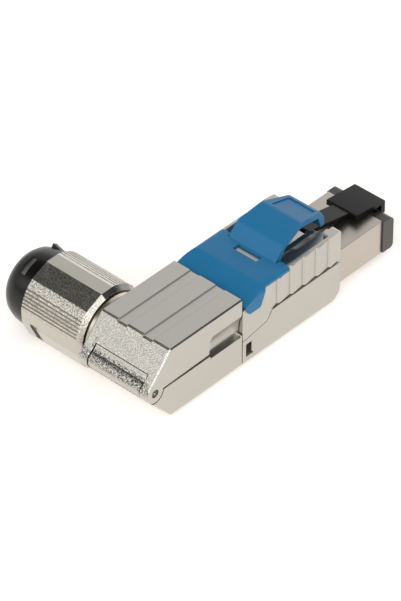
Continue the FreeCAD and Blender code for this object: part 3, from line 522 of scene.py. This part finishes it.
def outer_edges(mesh, edge_mm, least_mm, closed):
    """Marks the outward edges between two broad faces with a full bevel weight, and no others.

    A face is broad where the edges across it are more than two bevels away. An edge that ends at
    another one shorter than least_mm keeps no bevel, because the bevel would fold over there. The
    edges beside the parting between the rear and front shells were never tumbled, and stay sharp,
    as do those of the inner walls of a closed shell.
    """
    work = bmesh_of(mesh)
    marks = []
    for edge in work.edges:
        outward = (len(edge.link_faces) == 2
                   and edge.calc_face_angle_signed(0.0) > math.radians(BROKEN_DEG))
        ends = min(other.calc_length() for vertex in edge.verts for other in vertex.link_edges)
        long_enough = edge.calc_length() > SHORTEST_EDGE_MM * MM and ends > least_mm * MM
        parting = all(abs(vertex.co.x / MM - PARTING_X_MM) < PARTING_REACH_MM
                      for vertex in edge.verts)
        inner = closed and any(inner_wall(face) for face in edge.link_faces)
        broken = (outward and long_enough and not parting and not inner
                  and room_beside(edge) > BROAD_BEVELS * edge_mm * MM)
        marks.append(float(broken))
    work.free()
    weights = mesh.attributes.new("bevel_weight_edge", "FLOAT", "EDGE")
    weights.data.foreach_set("value", marks)


def finished(node, material, edge_mm, segments=2, sharp_deg=25, least_mm=None):
    """Makes the piece that stands for a CAD node, with broken edges and its real finish.

    With least_mm the node is a shell: its planes are flat, and outer_edges picks its bevels.
    """
    mesh = merged_mesh(node)
    piece = new_object(node + "_finished", mesh)
    mesh.materials.append(material)
    # Smooths every face, so the flat faces of a shell are set after it
    mesh.set_sharp_from_angle(angle=math.radians(sharp_deg))
    if least_mm is not None:
        mesh.polygons.foreach_set("use_smooth", curved_faces(mesh, sharp_deg))
        outer_edges(mesh, edge_mm, least_mm, closed=node == CLOSED_SHELL)
    bevel = piece.modifiers.new("broken_edges", "BEVEL")
    bevel.width = edge_mm * MM
    bevel.segments = segments
    bevel.limit_method = "ANGLE" if least_mm is None else "WEIGHT"
    bevel.angle_limit = math.radians(BROKEN_DEG)
    bevel.use_clamp_overlap = least_mm is None
    bevel.harden_normals = segments > 1
    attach(piece, BODY_OF[node])
    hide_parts(node)


finished("rear_upper_shell", shell_nickel, edge_mm=0.22, segments=1, least_mm=0.0)
for shell in ("rear_lower_shell", "front_lower_shell", "front_upper_shell"):
    finished(shell, shell_nickel, edge_mm=0.22, segments=1, least_mm=0.24)
finished("gland_nut", nut_nickel, edge_mm=0.04, segments=1, sharp_deg=8)
finished("gland_body", gland_nickel, edge_mm=0.1)
finished("nose_shield", sleeve_steel, edge_mm=0.08)
finished("hinge_pin", spring_steel, edge_mm=0.1)
finished("return_spring", spring_steel, edge_mm=0.04)
finished("contact_carrier", carrier_plastic, edge_mm=0.12)
finished("latch_lever", latch_plastic, edge_mm=0.1)
finished("end_cap", cap_plastic, edge_mm=0.1)
finished("release_clip", blue_plastic, edge_mm=0.12)
finished("release_lever", blue_plastic, edge_mm=0.15)

# %% [markdown]
# ## Inner pieces
#
# The pieces inside, and the cap's two lugs, keep their CAD meshes, whose edges are too small to
# matter, and only get a finish.

# %% Finishes of the inner pieces
INNER = {
    "terminal_block": white_plastic, "wire_manager": white_plastic, "slip_ring": white_plastic,
    "circuit_board": solder_mask, "clamp_collet": bronze, "cable_seal": seal_rubber,
    "cap_lug_1": lug_steel_painted_shade, "cap_lug_2": lug_steel_painted_shade,
}
for number in range(1, 9):
    INNER["contact_%d" % number] = gold
    INNER["terminal_%d" % number] = tin
for node, material in INNER.items():
    NODES[node].data.materials.clear()
    NODES[node].data.materials.append(material)
print("inner pieces with a finish:", len(INNER))

# %% [markdown]
# ## Floor and light
#
# The photograph is a product shot on white. A pale floor glows a little, so that shadows stay
# faint, and the room is soft, with three bright windows and three dark gaps, as between a
# studio's soft boxes. Shiny metal shows the room: the gaps draw the dark lines along the lid's
# edges and the dark flats of the nut, and the windows brighten the rear bevel and its side edge.

# %% Floor
FLOOR_SIZE = 3.0
FLOOR_GAP_MM = 0.05
PAPER = {"Base_Color": colour("#e4e2df"), "Roughness": 0.9,
         "Emission_Color": (1.0, 0.93, 0.88, 1.0), "Emission_Strength": 0.45}


def pale_floor(level):
    """A wide square sheet of paper at a level, in metres."""
    far = FLOOR_SIZE / 2
    corners = [(-far, -far, level), (far, -far, level), (far, far, level), (-far, far, level)]
    mesh = bpy.data.meshes.new("floor")
    mesh.from_pydata(corners, [], [(0, 1, 2, 3)])
    floor = new_object("floor", mesh)
    mesh.materials.append(new_material("white_paper", **PAPER)[0])


pale_floor(cad_box[0].z - FLOOR_GAP_MM * MM)

# %% Light
ROOM_LEVEL = 0.8
# Spots on the sky: direction, cosines where the spot starts and is full, what it adds to the level
SKY_SPOTS = (
    ((-0.33, -0.76, 0.58), 0.82, 0.94, 1.3),
    ((0.85, 0.52, 0.05), 0.82, 0.94, 0.7),
    ((-0.78, 0.48, 0.38), 0.90, 0.98, 0.9),
    ((-0.13, 0.53, 0.84), 0.85, 0.92, -0.72),
    ((0.56, -0.69, 0.46), 0.83, 0.92, -0.78),
    ((-0.85, 0.53, 0.03), 0.94, 0.98, -0.76),
)


def soft_room():
    """World light: an even level, bright windows and dark gaps, each a smooth spot on the sky.

    A spot's share is a smooth step of the dot product of the ray's direction with the spot's.
    """
    world = bpy.data.worlds.new("soft_room")
    bpy.context.scene.world = world
    world.use_nodes = True
    tree = world.node_tree
    ray = add(tree, "ShaderNodeTexCoord").outputs["Generated"]
    total = ROOM_LEVEL
    for direction, start, full, weight in SKY_SPOTS:
        toward = add(tree, "ShaderNodeVectorMath", {"operation": "DOT_PRODUCT"}, _0=ray,
                     _1=Vector(direction).normalized())
        share = add(tree, "ShaderNodeMapRange", {"interpolation_type": "SMOOTHSTEP"},
                    Value=toward.outputs["Value"], From_Min=start, From_Max=full,
                    To_Min=0.0, To_Max=weight)
        total = calculate(tree, "ADD", share.outputs[0], total)
    background = tree.nodes["Background"]
    link(tree, total, background, "Strength")
    background.inputs["Color"].default_value = (1.0, 1.0, 1.0, 1.0)


def soft_box(name, place, target, size, watts):
    """Square area light at a place, aimed at a target, both in metres."""
    light = bpy.data.lights.new(name, "AREA")
    light.size = size
    light.energy = watts
    lamp = new_object(name, light)
    lamp.location = place
    lamp.rotation_euler = (target - Vector(place)).to_track_quat("-Z", "Y").to_euler()
    lamp.visible_camera = False


soft_room()
soft_box("soft_box_camera_left", (-0.6, -0.25, 0.6), (cad_box[0] + cad_box[1]) / 2,
         size=0.5, watts=2.0)
